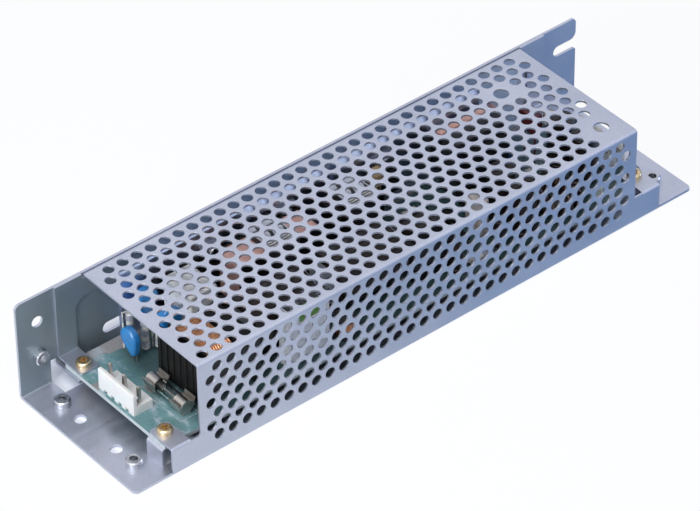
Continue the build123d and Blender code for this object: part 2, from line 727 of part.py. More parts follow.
def upright_capacitor(x, y, d, high):
    """Radial electrolytic with a crimp ring and a vented top."""
    z0 = BOARD_TOP
    can = rod(x, y, z0, z0 + high, d)
    can = fillet(can.edges(), d * 0.06)
    ring = Pos(x, y, z0 + 2.2) * Torus(d / 2 + 0.25, 0.55)
    can -= ring
    for turn in (0, 90):
        cut = Pos(x, y, z0 + high) * (Rot(0, 0, turn) * Box(d * 0.6, 0.4,
                                                            0.5))
        can -= cut
    for s in (-1, 1):
        can += lead(x, y + s * d * 0.25, z0 + 1, 0.6)
    return can


SINK_T = 2.0
SINK_REAR = BOARD_REAR - 0.1
SINK_FACE = SINK_REAR - SINK_T
SINK_RIM = 3.0                      # bent rim at the top of the plates
DEVICE_W = 10.0                     # power devices on the plates
DEVICE_Z = BOARD_TOP + 6.0
DEVICE_TAB_H = 15.7
DEVICE_TAB_T = 1.3
DEVICE_HOLE = 12.8                  # screw hole above the device's foot
TRANSISTOR_X = (along(-0.218), along(-0.0727), along(0.127), along(0.25))


def make_heatsinks():
    """Two upright aluminium plates along the rear edge of the board."""
    plates = []
    top = CASE_H - 3.0
    for x0, x1, rim_x in ((along(-0.394), along(0.0159), along(-0.162)),
                          (along(0.0318), along(0.336), along(0.0318))):
        plate = block(x0, x1, SINK_FACE, SINK_REAR, BOARD_TOP, top)
        plate += block(rim_x, x1, SINK_FACE - SINK_RIM, SINK_REAR,
                       top - SINK_T, top)
        ends = [e for e in plate.edges().filter_by(Axis.Z)
                if e.center().Y < SINK_FACE - 1]
        plate = fillet(ends, 1.5)
        long = [e for e in plate.edges().filter_by(Axis.X)
                if e.center().Z > top - 0.1 and e.center().Y > SINK_FACE]
        plate = fillet(long, 0.8)
        for x in (x0 + 6, x1 - 6):
            plate += lead(x, SINK_FACE + SINK_T / 2, BOARD_TOP + 1, 1.6)
        plates.append(plate)
    return plates


def make_transistors():
    """Power devices on the plates: moulded bodies and metal tabs."""
    bodies, tabs = [], []
    half, low = DEVICE_W / 2, DEVICE_Z
    tab_face = SINK_FACE - DEVICE_TAB_T
    for x in TRANSISTOR_X:
        body = block(x - half, x + half, tab_face - 3.2, tab_face, low,
                     low + 9.2)
        body = chamfer(body.edges().filter_by(Axis.X).group_by(Axis.Y)[0],
                       0.4)
        bodies.append(body)
        tab = block(x - half, x + half, tab_face, SINK_FACE, low,
                    low + DEVICE_TAB_H)
        tab -= rod_y(x, SINK_FACE - 3, SINK_FACE + 1, low + DEVICE_HOLE,
                     3.8)
        tabs.append(tab)
        for s in (-1, 0, 1):
            tabs.append(lead(x + 2.54 * s, tab_face - 1.4, low, 0.8))
    return bodies, tabs


def make_transistor_screws():
    """Screws that hold the power devices to the plates."""
    screws = []
    for x in TRANSISTOR_X:
        screw = pan_screw(0, 0, 0, DEVICE_TAB_T, 3.6, 5.6, 2.0)
        at = Plane(origin=(x, SINK_FACE - DEVICE_TAB_T,
                           DEVICE_Z + DEVICE_HOLE),
                   x_dir=(1, 0, 0), z_dir=(0, -1, 0))
        screws.append(at.location * screw)
    return screws


def make_bridge_rectifier():
    """Flat rectifier against the first plate, on four leads."""
    x0, x1 = along(-0.336), along(-0.25)
    body = block(x0, x1, SINK_FACE - 3.4, SINK_FACE, BOARD_TOP + 4,
                 BOARD_TOP + tall(0.7))
    body = chamfer(body.edges().filter_by(Axis.Y).sort_by(Axis.X)[-1], 2.4)
    for i in range(4):
        x = x0 + (x1 - x0) * (0.14 + 0.24 * i)
        body += lead(x, SINK_FACE - 1.7, BOARD_TOP + 5, 1.0)
    return body


def dumb_bell(length, d):
    """Lacquered resistor body about the origin, along Z."""
    cap_l = length * 0.22
    body = Cylinder(d / 2 - 0.25, length)
    for s in (-1, 1):
        cap = Cylinder(d / 2, cap_l)
        body += Pos(0, 0, s * (length - cap_l) / 2) * cap
    return fillet(body.edges().group_by(Axis.Z)[0]
                  + body.edges().group_by(Axis.Z)[-1], d * 0.18)


def standing_resistor(x, y, length, d, side=1):
    """Upright resistor with its top lead bent over to the board."""
    z0 = BOARD_TOP + 1.0
    top = z0 + length + 1.2
    body = Pos(x, y, z0 + length / 2) * dumb_bell(length, d)
    far = x + 3.0 * side
    arch = rod_x(min(x, far) - 0.2, max(x, far) + 0.2, y, top, 0.6)
    return (body + lead(x, y, top + 0.3, 0.6) + arch
            + lead(far, y, top + 0.3, 0.6))


def lying_resistor(x, y, length, d):
    """Resistor flat on the board, its leads bent down."""
    z = BOARD_TOP + d / 2
    body = Pos(x, y, z) * (Rot(0, 90, 0) * dumb_bell(length, d))
    span = length / 2 + 2
    wire = rod_x(x - span, x + span, y, z, 0.6)
    for s in (-1, 1):
        wire += lead(x + s * (span - 0.3), y, z + 0.3, 0.6)
    return body + wire


def make_resistors():
    """Through-hole resistors, standing at the input, lying elsewhere."""
    return [standing_resistor(along(-0.3936), row_at(0.389), 13.0, 3.2, -1),
            standing_resistor(along(-0.3845), row_at(0.284), 13.0, 3.2),
            standing_resistor(along(-0.365), row_at(0.245), 14.0, 3.2),
            lying_resistor(along(0.141), row_at(0.247), 6.5, 2.4),
            lying_resistor(along(0.141), row_at(0.175), 6.5, 2.4),
            lying_resistor(along(0.1545), row_at(-0.389), 9.0, 3.4),
            lying_resistor(along(0.3636), row_at(0.0655), 6.5, 2.4)]


def dip(x, y, ways):
    """Dual in-line package with formed legs through the board."""
    pitch, row = 2.54, 7.62
    long = ways * pitch - 0.4
    z0 = BOARD_TOP + 0.5
    body = block(x - long / 2, x + long / 2, y - 3.2, y + 3.2, z0, z0 + 3.4)
    body = chamfer(body.edges().filter_by(Axis.X), 0.4)
    body -= rod(x - long / 2, y, z0 + 2.8, z0 + 5, 1.6)
    legs = []
    for i in range(ways):
        px = x + pitch * (i - (ways - 1) / 2)
        for s in (-1, 1):
            bar = Pos(px, y + s * (3.2 + 0.45), z0 + 1.6) * Box(1, 0.9, 0.4)
            legs.append(bar + lead(px, y + s * row / 2, z0 + 1.8, 0.6))
    return body, legs


def make_integrated_circuits():
    """Controller and two optocouplers: bodies and legs."""
    bodies, legs = [], []
    for x, y, ways in ((0.1455, -0.171, 4), (0.177, 0.029, 2),
                       (0.127, 0.029, 2)):
        body, feet = dip(along(x), row_at(y), ways)
        bodies.append(body)
        legs += feet
    return bodies, legs


def make_small_choke():
    """Drum choke near the front mesh: ferrite drum and copper coil."""
    x, y, d = along(-0.125), row_at(-0.396), 8.0
    z0 = BOARD_TOP
    drum = rod(x, y, z0, z0 + 1.2, d) + rod(x, y, z0, z0 + 8.2, 3.0)
    drum += rod(x, y, z0 + 7.0, z0 + 8.2, d)
    for s in (-1, 1):
        drum += lead(x, y + 2.5 * s, z0 + 1, 0.6)
    coil = rod(x, y, z0 + 1.2, z0 + 7.0, d - 0.8)
    coil -= rod(x, y, z0, z0 + 9, 3.0)
    return drum, coil


def make_output_choke():
    """Toroid lying on the board: taped core with copper turns."""
    x, y, core_r, tube_r = along(0.341), row_at(-0.2436), 7.0, 2.6
    wire, first, sweep, turn_step = 1.2, 30, 300, 20
    turns = 1 + steps(sweep, turn_step)
    z = BOARD_TOP + tube_r + wire + SEAT
    core = Pos(x, y, z) * Torus(core_r, tube_r)
    loops = []
    reach = core_r + tube_r + wire / 2
    for i in range(turns):
        angle = first + turn_step * i
        loop = Torus(tube_r + wire / 2 + 0.02, wire / 2)
        stand = Rot(0, 0, angle) * (Pos(core_r, 0, 0) * (Rot(90, 0, 0)
                                                         * loop))
        loop = Pos(x, y, z) * stand
        if i in (0, turns - 1):
            end = Vector(reach, 0, 0).rotate(Axis.Z, angle)
            loop += lead(x + end.X, y + end.Y, z, wire * 0.9)
        loops.append(loop)
    return core, loops


def make_trimmer():
    """Output voltage trimmer under its access hole: body and rotor."""
    x, y = TRIMMER_X, TRIMMER_Y
    half_x, half_y, high = 2.7, 3.3, 6.0
    rotor_d, rotor_h, stem_d, stem_l = 4.2, 1.0, 1.6, 3.0
    rim_free, stem_free = 0.15, 0.1
    slot, slot_deep = 0.7, 0.5
    top = BOARD_TOP + high
    body = block(x - half_x, x + half_x, y - half_y, y + half_y,
                 BOARD_TOP, top)
    body = fillet(body.edges().filter_by(Axis.Z), 0.4)
    body -= rod(x, y, top - rotor_h, top + 1, rotor_d + 2 * rim_free)
    body -= rod(x, y, top - stem_l, top, stem_d + 2 * stem_free)
    for dx, dy in ((-2.0, -1.8), (2.0, -1.8), (0, 2.2)):
        body += lead(x + dx, y + dy, BOARD_TOP + 1, 0.7)
    rotor = rod(x, y, top - rotor_h, top + 0.2, rotor_d)
    rotor += rod(x, y, top - stem_l, top - rotor_h, stem_d)
    low = top - slot_deep
    rotor -= block(x - 1.5, x + 1.5, y - slot / 2, y + slot / 2, low,
                   top + 1)
    arrow = block(x - slot / 2, x + slot / 2, y, y + 1.4, low, top + 1)
    return body, rotor - arrow


def make_lamp():
    """Round 3 mm lamp that shows the output is on."""
    x, y = LAMP_X, LAMP_Y
    z0 = BOARD_TOP
    body = rod(x, y, z0, z0 + 1.0, 3.8) + rod(x, y, z0, z0 + 3.8, 3.0)
    body += Pos(x, y, z0 + 3.8) * Sphere(1.5)
    for s in (-1, 1):
        body += lead(x + 1.0 * s, y, z0 + 0.5, 0.5)
    return body


def dipped_box(x, y, w, d, high, low=1.0):
    """Dipped part with soft edges, its body at a height on its leads."""
    z0 = BOARD_TOP + low
    body = block(x - w / 2, x + w / 2, y - d / 2, y + d / 2, z0, z0 + high)
    body = fillet(body.edges(), min(w, d) * 0.3)
    for s in (-1, 1):
        if w > d:
            body += lead(x + s * w * 0.3, y, z0 + 2, 0.7)
        else:
            body += lead(x, y + s * d * 0.3, z0 + 2, 0.7)
    return body


def save(name, shape):
    """Writes one node: a solid, or a group of separate solids."""
    parts = shape if isinstance(shape, list) else [shape]
    solids = [s for p in parts for s in p.solids()]
    whole = solids[0] if len(solids) == 1 else Compound(children=solids)
    export_step(whole, "parts/" + name + ".step")
    print(name, len(solids), round(sum(s.volume for s in solids), 1))


def main():
    os.makedirs("parts", exist_ok=True)
    save("cover", make_cover())
    save("chassis", make_chassis())
    save("cover_screws", make_cover_screws())
    save("clinch_nuts", make_clinch_nuts())
    housing, pins = header(5, row_at(0.0073), 2, True)
    save("input_header", housing)
    save("input_header_pins", pins)
    housing, pins = header(6, row_at(-0.0436), 1, False)
    save("output_header", housing)
    save("output_header_pins", pins)
    tube, wire, caps, clips = make_fuse()
    save("fuse_tube", tube)
    save("fuse_wire", wire)
    save("fuse_caps", caps)
    save("fuse_clips", clips)
    save("disc_capacitors", make_disc_capacitors())
    core, bobbin, coil, feet = make_line_choke()
    save("line_choke_core", core)
    save("line_choke_bobbin", [bobbin] + feet)
    save("line_choke_coil", coil)
    core, bobbin, coil = make_pfc_choke()
    save("pfc_choke_core", core)
    save("pfc_choke_bobbin", bobbin)
    save("pfc_choke_coil", coil)
    core, bobbin, coil, feet = make_main_transformer()
    save("main_transformer_core", core)
    save("main_transformer_bobbin", [bobbin] + feet)
    save("main_transformer_coil", coil)
    core, bobbin, coil, feet = make_driver_transformer()
    save("driver_transformer_core", core)
    save("driver_transformer_bobbin", [bobbin] + feet)
    save("driver_transformer_coil", coil)
    save("line_capacitor",
         box_capacitor(along(-0.3375), along(-0.284), row_at(0.0555),
                       row_at(0.335), tall(0.828), False))
    save("film_capacitor",
         box_capacitor(along(-0.2455), along(-0.1614), row_at(-0.438),
                       row_at(-0.338), tall(0.86), True))
    cans, sleeves = make_bulk_capacitors()
    save("bulk_capacitor_cans", cans)
    save("bulk_capacitor_sleeves", sleeves)
    save("heatsinks", make_heatsinks())
    bodies, tabs = make_transistors()
    save("transistor_bodies", bodies)
    save("transistor_tabs", tabs)
    save("transistor_screws", make_transistor_screws())
    save("bridge_rectifier", make_bridge_rectifier())
    save("output_capacitors",
         [upright_capacitor(along(x), row_at(y), 10.0, tall(0.662))
          for x, y in ((0.2568, -0.1236), (0.2568, -0.338),
                       (0.418, -0.198), (0.418, 0.029))])
    save("small_capacitors",
         [upright_capacitor(along(x), row_at(y), 5.0, 11.0)
          for x, y in ((0.2045, -0.353), (0.109, -0.378))])
    save("coupling_capacitor", dipped_box(along(0.0945), row_at(0.347), 6.0,
                                          5.0, tall(0.23), tall(0.515)))
    save("output_film_capacitor",
         dipped_box(along(0.3841), row_at(0.1745), 5.0, 9.0, tall(0.31),
                    tall(0.46)))
    save("ceramic_resistor", dipped_box(along(0.1955), row_at(-0.171), 4.5,
                                        9.0, tall(0.53)))
    save("resistors", make_resistors())
    bodies, legs = make_integrated_circuits()
    save("circuit_bodies", bodies)
    save("circuit_legs", legs)
    drum, coil = make_small_choke()
    save("small_choke_drum", drum)
    save("small_choke_coil", coil)
    core, loops = make_output_choke()
    save("output_choke_core", core)
    save("output_choke_turns", loops)
    body, rotor = make_trimmer()
    save("trimmer_body", body)
    save("trimmer_rotor", rotor)
    save("lamp", make_lamp())
    save("circuit_board", make_board())


main()
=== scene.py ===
import json
import math

import bmesh
import bpy
from mathutils import Matrix, Vector


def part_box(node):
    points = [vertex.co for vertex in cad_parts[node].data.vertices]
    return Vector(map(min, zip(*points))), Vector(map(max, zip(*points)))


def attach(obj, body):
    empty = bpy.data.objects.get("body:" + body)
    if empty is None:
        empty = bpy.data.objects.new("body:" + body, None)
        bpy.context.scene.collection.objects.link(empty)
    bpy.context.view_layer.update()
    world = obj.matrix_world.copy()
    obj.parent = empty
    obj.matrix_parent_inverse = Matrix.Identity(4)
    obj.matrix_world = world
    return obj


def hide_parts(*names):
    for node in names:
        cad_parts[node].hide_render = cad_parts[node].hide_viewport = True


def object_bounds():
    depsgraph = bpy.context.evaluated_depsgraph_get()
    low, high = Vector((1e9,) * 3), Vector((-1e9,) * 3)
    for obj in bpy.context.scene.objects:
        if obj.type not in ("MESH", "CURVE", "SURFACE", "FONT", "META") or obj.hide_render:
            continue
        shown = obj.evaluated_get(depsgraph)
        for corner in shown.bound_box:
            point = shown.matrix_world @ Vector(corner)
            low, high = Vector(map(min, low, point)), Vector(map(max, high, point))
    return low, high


# Looks of the mesh case power supply, in metres, in the solids' frame.

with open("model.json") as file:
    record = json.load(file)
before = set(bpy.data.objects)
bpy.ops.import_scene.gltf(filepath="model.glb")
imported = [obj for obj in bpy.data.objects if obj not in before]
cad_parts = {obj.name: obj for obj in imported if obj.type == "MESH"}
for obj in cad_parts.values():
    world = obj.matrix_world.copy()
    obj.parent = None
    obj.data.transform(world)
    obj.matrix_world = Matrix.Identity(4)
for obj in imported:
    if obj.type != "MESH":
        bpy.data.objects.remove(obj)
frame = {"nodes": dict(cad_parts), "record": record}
size_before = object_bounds()

MM = 0.001

# The photograph's viewpoint, as a real place and direction.
CAMERA_AT = (-0.76458, -0.93019, 1.00406)
CAMERA_AZIMUTH = 39.180
CAMERA_ELEVATION = 39.368
CAMERA_ROLL = -0.729
LENS = 230.32
SENSOR = 36.0

# The floor, and the tones of the painted reflection it glows with for metal to mirror,
# from the input end on.
FLOOR_HALF = 6.0
FLOOR_DROP = 0.0002
PAINTED_REFLECTION = [(0.0, (0.92, 0.96, 1.02)), (0.22, (0.80, 0.86, 0.96)),
         (0.42, (0.50, 0.60, 0.76)), (0.58, (0.32, 0.46, 0.68)),
         (1.0, (0.22, 0.36, 0.62))]
PAINTED_REFLECTION_X = (-0.10, 0.14)

# Places that the looks and added pieces go by, from the solids.
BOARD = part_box("circuit_board")
BOARD_TOP = BOARD[1][2]
CASE = size_before
BARE_FROM = BOARD[1][1] - 0.0055    # bare laminate along the rear edge
COVERED = (-0.097, -0.090)          # the shade of the cover begins
MESH_END = 0.0979                   # half length of the perforated box

STEEL_METAL = 0.86                  # share of metal in the steel's look
PRINT_W = 0.00028                   # width of the board's printed lines

# Wires of the two wound coils and of the turns over the cores.
LINE_WIRE = 0.9 * MM
SMALL_WIRE = 0.4 * MM
TURN_WIRE = 0.8 * MM


def around(name, grow):
    """A node's footprint, grown on its four sides."""
    low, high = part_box(name)
    return (low[0] - grow, low[1] - grow, high[0] + grow, high[1] + grow)


FUSE = around("fuse_caps", 0.0012)
HEADER = around("input_header", 0.0010)
CHOKE = around("line_choke_core", 0.0012)
# Printed outlines: round the fuse and the choke, and two small marks.
PRINTED = [FUSE, CHOKE,
           (HEADER[2] + 0.0012, HEADER[1] + 0.001, HEADER[2] + 0.0026,
            HEADER[1] + 0.007),
           (FUSE[2] + 0.0012, FUSE[1] + 0.004, FUSE[2] + 0.004,
            FUSE[3] - 0.008)]


class Net:
    """Short ways to add nodes to a tree and link them."""

    def __init__(self, tree):
        self.tree = tree
        self.where = self.add("ShaderNodeTexCoord").outputs["Object"]

    def add(self, kind, **inputs):
        node = self.tree.nodes.new(kind)
        for key, value in inputs.items():
            self.feed(node.inputs[key.replace("_", " ")], value)
        return node

    def feed(self, socket, value):
        if isinstance(value, bpy.types.NodeSocket):
            self.tree.links.new(value, socket)
        else:
            socket.default_value = value

    def place(self, scale=(1, 1, 1), turn=(0, 0, 0)):
        node = self.add("ShaderNodeMapping", Vector=self.where)
        node.inputs["Scale"].default_value = scale
        node.inputs["Rotation"].default_value = turn
        return node.outputs["Vector"]

    def noise(self, scale, detail=3.0, rough=0.55, stretch=(1, 1, 1)):
        node = self.add("ShaderNodeTexNoise", Vector=self.place(stretch),
                        Scale=scale, Detail=detail, Roughness=rough)
        return node.outputs["Fac"]

    def cells(self, scale):
        node = self.add("ShaderNodeTexVoronoi", Vector=self.where,
                        Scale=scale)
        return node.outputs["Distance"]

    def wave(self, scale, axis, distort=0.0):
        node = self.add("ShaderNodeTexWave", Vector=self.where, Scale=scale,
                        Distortion=distort)
        node.bands_direction = axis
        return node.outputs["Fac"]

    def ramp(self, fac, stops):
        node = self.add("ShaderNodeValToRGB", Fac=fac)
        marks = node.color_ramp.elements
        while len(marks) < len(stops):
            marks.new(0.5)
        for mark, (at, colour) in zip(marks, stops):
            mark.position = at
            mark.color = (*colour, 1.0)
        return node.outputs["Color"]

    def level(self, fac, low, high, from_low=0.0, from_high=1.0):
        node = self.add("ShaderNodeMapRange", Value=fac)
        for key, value in (("From Min", from_low), ("From Max", from_high),
                           ("To Min", low), ("To Max", high)):
            node.inputs[key].default_value = value
        return node.outputs["Result"]

    def mix(self, fac, a, b, mode="MIX"):
        node = self.tree.nodes.new("ShaderNodeMix")
        node.data_type = "RGBA"
        node.blend_type = mode
        self.feed(node.inputs[0], fac)
        for socket, value in ((node.inputs[6], a), (node.inputs[7], b)):
            if isinstance(value, tuple):
                value = (*value, 1.0)
            self.feed(socket, value)
        return node.outputs[2]

    def math(self, kind, a, b=0.0):
        node = self.tree.nodes.new("ShaderNodeMath")
        node.operation = kind
        self.feed(node.inputs[0], a)
        self.feed(node.inputs[1], b)
        return node.outputs[0]

    def times(self, a, b):
        return self.math("MULTIPLY", a, b)

    def minus(self, a, b):
        return self.math("SUBTRACT", a, b)

    def larger(self, a, b):
        return self.math("MAXIMUM", a, b)

    def magnitude(self, a):
        return self.math("ABSOLUTE", a)

    def below(self, a, b):
        """One where a is less than b, else nought."""
        return self.math("LESS_THAN", a, b)

    def above(self, a, b):
        """One where a is more than b, else nought."""
        return self.math("GREATER_THAN", a, b)

    def within(self, value, mid, half):
        """One where a value lies within half of mid, else nought."""
        return self.below(self.magnitude(self.minus(value, mid)), half)

    def axis(self, index):
        """One coordinate of the place on the object."""
        node = self.add("ShaderNodeSeparateXYZ", Vector=self.where)
        return node.outputs[index]

    def facing(self, index):
        """One part of the surface's own direction."""
        way = self.add("ShaderNodeNewGeometry").outputs["Normal"]
        return self.add("ShaderNodeSeparateXYZ", Vector=way).outputs[index]

    def rays(self, kind):
        return self.add("ShaderNodeLightPath").outputs[kind]

    def glow(self, colour):
        return self.add("ShaderNodeEmission", Color=colour).outputs[0]

    def blend(self, fac, a, b):
        """Two shaders, mixed by a share."""
        node = self.tree.nodes.new("ShaderNodeMixShader")
        for socket, value in zip(node.inputs, (fac, a, b)):
            self.feed(socket, value)
        return node.outputs[0]


class Look(Net):
    """A node material built around one Principled shader."""

    def __init__(self, name, rough=0.5, metal=0.0, **sockets):
        self.mat = bpy.data.materials.new(name)
        self.mat.use_nodes = True
        super().__init__(self.mat.node_tree)
        self.bsdf = self.tree.nodes["Principled BSDF"]
        sockets.update(Roughness=rough, Metallic=metal)
        for key, value in sockets.items():
            self.bsdf.inputs[key.replace("_", " ")].default_value = value
        self.relief = None

    def colour(self, value):
        self.feed(self.bsdf.inputs["Base Color"], value)

    def rough(self, value):
        self.feed(self.bsdf.inputs["Roughness"], value)

    def metal(self, value):
        self.feed(self.bsdf.inputs["Metallic"], value)

    def bump(self, height, strength, distance, edge=0.0):
        """Relief over what is there; the first may round the edges."""
        node = self.add("ShaderNodeBump", Height=height)
        node.inputs["Strength"].default_value = strength
        node.inputs["Distance"].default_value = distance
        if self.relief is not None:
            self.feed(node.inputs["Normal"], self.relief)
        elif edge:
            soft = self.tree.nodes.new("ShaderNodeBevel")
            soft.samples = 4
            soft.inputs["Radius"].default_value = edge
            self.feed(node.inputs["Normal"], soft.outputs["Normal"])
        self.relief = node.outputs["Normal"]
        self.feed(self.bsdf.inputs["Normal"], self.relief)


def steel():
    """Zinc plated sheet: satin, faintly clouded, with rolling grain."""
    look = Look("zinc_plated_steel")
    cloud = look.noise(28, 4, 0.6)
    grain = look.noise(2600, 2, 0.6)
    rolled = look.noise(420, 3, 0.5, stretch=(0.06, 1, 1))
    base = look.ramp(cloud, [(0.30, (0.500, 0.520, 0.600)),
                             (0.52, (0.545, 0.565, 0.645)),
                             (0.75, (0.590, 0.605, 0.680))])
    fleck = look.ramp(grain, [(0.35, (0.86, 0.87, 0.89)),
                              (0.65, (1.0, 1.0, 1.0))])
    base = look.mix(1.0, base, fleck, "MULTIPLY")
    # The rear wall is duller and less metallic on its inner face, with painted light: a
    # blue cast, and painted shade darker toward the input end.
    rear_y, rim = BOARD[1][1] - 0.0005, 0.002
    x = look.axis(0)
    inward = look.times(look.below(look.facing(1), -0.5),
                        look.above(look.axis(1), rear_y))
    left = look.below(x, -MESH_END)
    under = look.times(look.below(look.axis(2), CASE[1][2] - rim),
                       look.below(x, MESH_END))
    inner = look.times(inward, look.larger(left, under))
    covered = look.level(x, 0.0, 1.0, COVERED[1], COVERED[1] + 0.030)
    wall_painted_light = look.ramp(cloud, [(0.30, (0.52, 0.66, 0.84)),
                             (0.75, (0.62, 0.76, 0.94))])
    wall_painted_light = look.mix(covered, (0.25, 0.30, 0.33), wall_painted_light)
    # Painted light: it is lighter toward the output end.
    wall_painted_light = look.mix(look.level(x, 0.0, 1.0, 0.065, 0.085), wall_painted_light,
                    (0.74, 0.84, 0.98))
    look.colour(look.mix(inner, base, wall_painted_light))
    kept = look.level(covered, 0.60, 0.05)
    loss = look.times(inner, look.minus(STEEL_METAL, kept))
    look.metal(look.minus(STEEL_METAL, loss))
    worn = look.times(rolled, cloud)
    look.rough(look.level(worn, 0.34, 0.50, 0.15, 0.40))
    look.bump(rolled, 0.10, 0.00008, edge=0.00012)
    look.bump(grain, 0.18, 0.00003)
    return look.mat


def board():
    """Solder mask over etched tracks, with printed part outlines."""
    look = Look("solder_mask", rough=0.36)
    x, y = look.axis(0), look.axis(1)
    cells = look.add("ShaderNodeTexVoronoi", Vector=look.place(
        (1, 1, 0.001)), Scale=210)
    cells.distance = "CHEBYCHEV"
    cells.inputs["Randomness"].default_value = 0.55
    pads = look.level(cells.outputs["Distance"], 1.0, 0.0, 0.40, 0.44)
    lines = look.add("ShaderNodeTexBrick", Vector=look.place((1, 1, 0)),
                     Scale=95)
    lines.inputs["Mortar Size"].default_value = 0.028
    lines.inputs["Mortar Smooth"].default_value = 0.2
    tracks = look.larger(pads, lines.outputs["Fac"])
    cloud = look.noise(120, 3)
    mask = look.ramp(cloud, [(0.30, (0.085, 0.185, 0.200)),
                             (0.70, (0.130, 0.255, 0.275))])
    green = look.mix(look.times(tracks, 0.22), mask, (0.18, 0.34, 0.33))
    # No copper or mask along the rear edge: bare grey-brown laminate.
    weave = look.noise(1400, 2)
    bare = look.ramp(weave, [(0.3, (0.200, 0.195, 0.200)),
                             (0.7, (0.285, 0.270, 0.270))])
    wander = look.level(look.noise(60, 2), -0.0025, 0.0025, 0.3, 0.7)
    edge = look.math("ADD", y, wander)
    rear = look.level(edge, 0.0, 1.0, BARE_FROM, BARE_FROM + 0.0004)
    # So are a strip behind the header and a spot beside the choke.
    strip_y = (HEADER[3] - 0.004, BARE_FROM - 0.0105)
    strip = look.times(
        look.level(edge, 0.0, 1.0, strip_y[0], strip_y[0] + 0.001),
        look.level(edge, 1.0, 0.0, strip_y[1], strip_y[1] + 0.0005))
    strip = look.times(strip, look.below(x, HEADER[2]))
    spot_x, spot_y = CHOKE[0] - 0.004, CHOKE[3] - 0.004
    spot = look.times(look.within(x, spot_x, 0.004),
                      look.within(edge, spot_y, 0.002))
    # Painted shade: the mask is darker below the cover.
    cover_shade = look.level(x, 1.0, 0.42, COVERED[0], COVERED[1])
    green = look.mix(1.0, green, look.ramp(cover_shade, [
        (0.0, (0, 0, 0)), (1.0, (1, 1, 1))]), "MULTIPLY")
    base = look.mix(rear, green, bare)
    # Flux and handling leave pale smears by the open end.
    smear = look.noise(330, 4, 0.65, stretch=(1, 0.5, 1))
    thick = look.level(y, 0.50, 0.60, BARE_FROM - 0.012, BARE_FROM)
    thick = look.math("ADD", smear, look.minus(thick, 0.5))
    pale = look.times(look.level(thick, 0.0, 0.6, 0.52, 0.66),
                      look.level(cover_shade, 0.0, 1.0, 0.8, 1.0))
    base = look.mix(pale, base, (0.42, 0.47, 0.54))
    base = look.mix(look.larger(strip, spot), base, bare)
    # Printed outlines of the parts near the open end.
    print_wear = look.level(look.noise(900, 3), 0.10, 0.7, 0.38, 0.60)
    for box in PRINTED:
        ring = look.times(outline(look, x, y, box), print_wear)
        base = look.mix(ring, base, (0.50, 0.55, 0.60))
    # The cut edges show the pale laminate.
    upright = look.magnitude(look.facing(2))
    cut = look.level(upright, 1.0, 0.0, 0.3, 0.5)
    look.colour(look.mix(cut, base, (0.42, 0.47, 0.47)))
    look.rough(look.level(cloud, 0.28, 0.42))
    look.bump(tracks, 0.5, 0.00004)
    look.bump(weave, 0.10, 0.00003)
    return look.mat


def outline(look, x, y, box):
    """One where a printed rectangle's line runs, else nought."""
    x0, y0, x1, y1 = box
    half_x, half_y = (x1 - x0) / 2, (y1 - y0) / 2
    dx = look.magnitude(look.minus(x, x0 + half_x))
    dy = look.magnitude(look.minus(y, y0 + half_y))
    beyond = look.larger(look.minus(dx, half_x), look.minus(dy, half_y))
    return look.below(look.magnitude(beyond), PRINT_W / 2)


def plated(name, low, high, rough, scale=900, edge=0.0001, metal=1.0):
    """Bright plated metal with small tone and gloss changes."""
    look = Look(name, metal=metal)
    cloud = look.noise(scale * 0.2, 3)
    fine = look.noise(scale * 3, 2)
    look.colour(look.ramp(cloud, [(0.3, low), (0.7, high)]))
    look.rough(look.level(fine, rough - 0.07, rough + 0.07))
    look.bump(fine, 0.08, 0.00002, edge=edge)
    return look.mat


def moulded(name, low, high, rough, grain=1800, depth=0.00003, coat=0.0,
            inner=0.0, shine=0.5):
    """Moulded or dipped plastic with a fine skin and soft tone."""
    look = Look(name, rough=rough, Coat_Weight=coat, Coat_Roughness=0.12,
                Subsurface_Weight=inner, Subsurface_Scale=0.002,
                Specular_IOR_Level=shine)
    cloud = look.noise(160, 3)
    skin = look.noise(grain, 3)
    look.colour(look.ramp(cloud, [(0.3, low), (0.7, high)]))
    look.rough(look.level(skin, rough - 0.08, rough + 0.08))
    look.bump(skin, 0.25, depth, edge=0.00015)
    return look.mat


def ferrite():
    """Sintered ferrite: dark grey, ground, with light specks."""
    look = Look("ferrite", rough=0.5, metal=0.1)
    speck = look.cells(1900)
    cloud = look.noise(240, 3)
    base = look.ramp(cloud, [(0.3, (0.018, 0.018, 0.021)),
                             (0.7, (0.036, 0.036, 0.042))])
    dots = look.level(speck, 1.0, 0.0, 0.10, 0.22)
    look.colour(look.mix(look.times(dots, 0.2), base,
                         (0.20, 0.21, 0.23)))
    look.rough(look.level(cloud, 0.38, 0.6))
    look.bump(speck, 0.2, 0.00004, edge=0.0002)
    return look.mat


def wire(name, low, high, metal):
    """Enamelled winding wire."""
    look = Look(name, metal=metal, Coat_Weight=0.6, Coat_Roughness=0.15)
    cloud = look.noise(500, 3)
    look.colour(look.ramp(cloud, [(0.3, low), (0.7, high)]))
    look.rough(look.level(cloud, 0.20, 0.36))
    look.bump(look.noise(2400, 2), 0.15, 0.00002)
    return look.mat


def tape(name, low, high):
    """Polyester tape: lapped edges and a slight wrinkle."""
    look = Look(name, rough=0.30, Coat_Weight=0.4, Coat_Roughness=0.2)
    cloud = look.noise(180, 3)
    wrinkle = look.noise(90, 4, 0.6, stretch=(1, 0.3, 1))
    look.colour(look.ramp(cloud, [(0.3, low), (0.7, high)]))
    look.rough(look.level(wrinkle, 0.22, 0.42))
    look.bump(wrinkle, 0.5, 0.00025)
    look.bump(look.wave(170, "Z", 1.5), 0.25, 0.00008)
    return look.mat


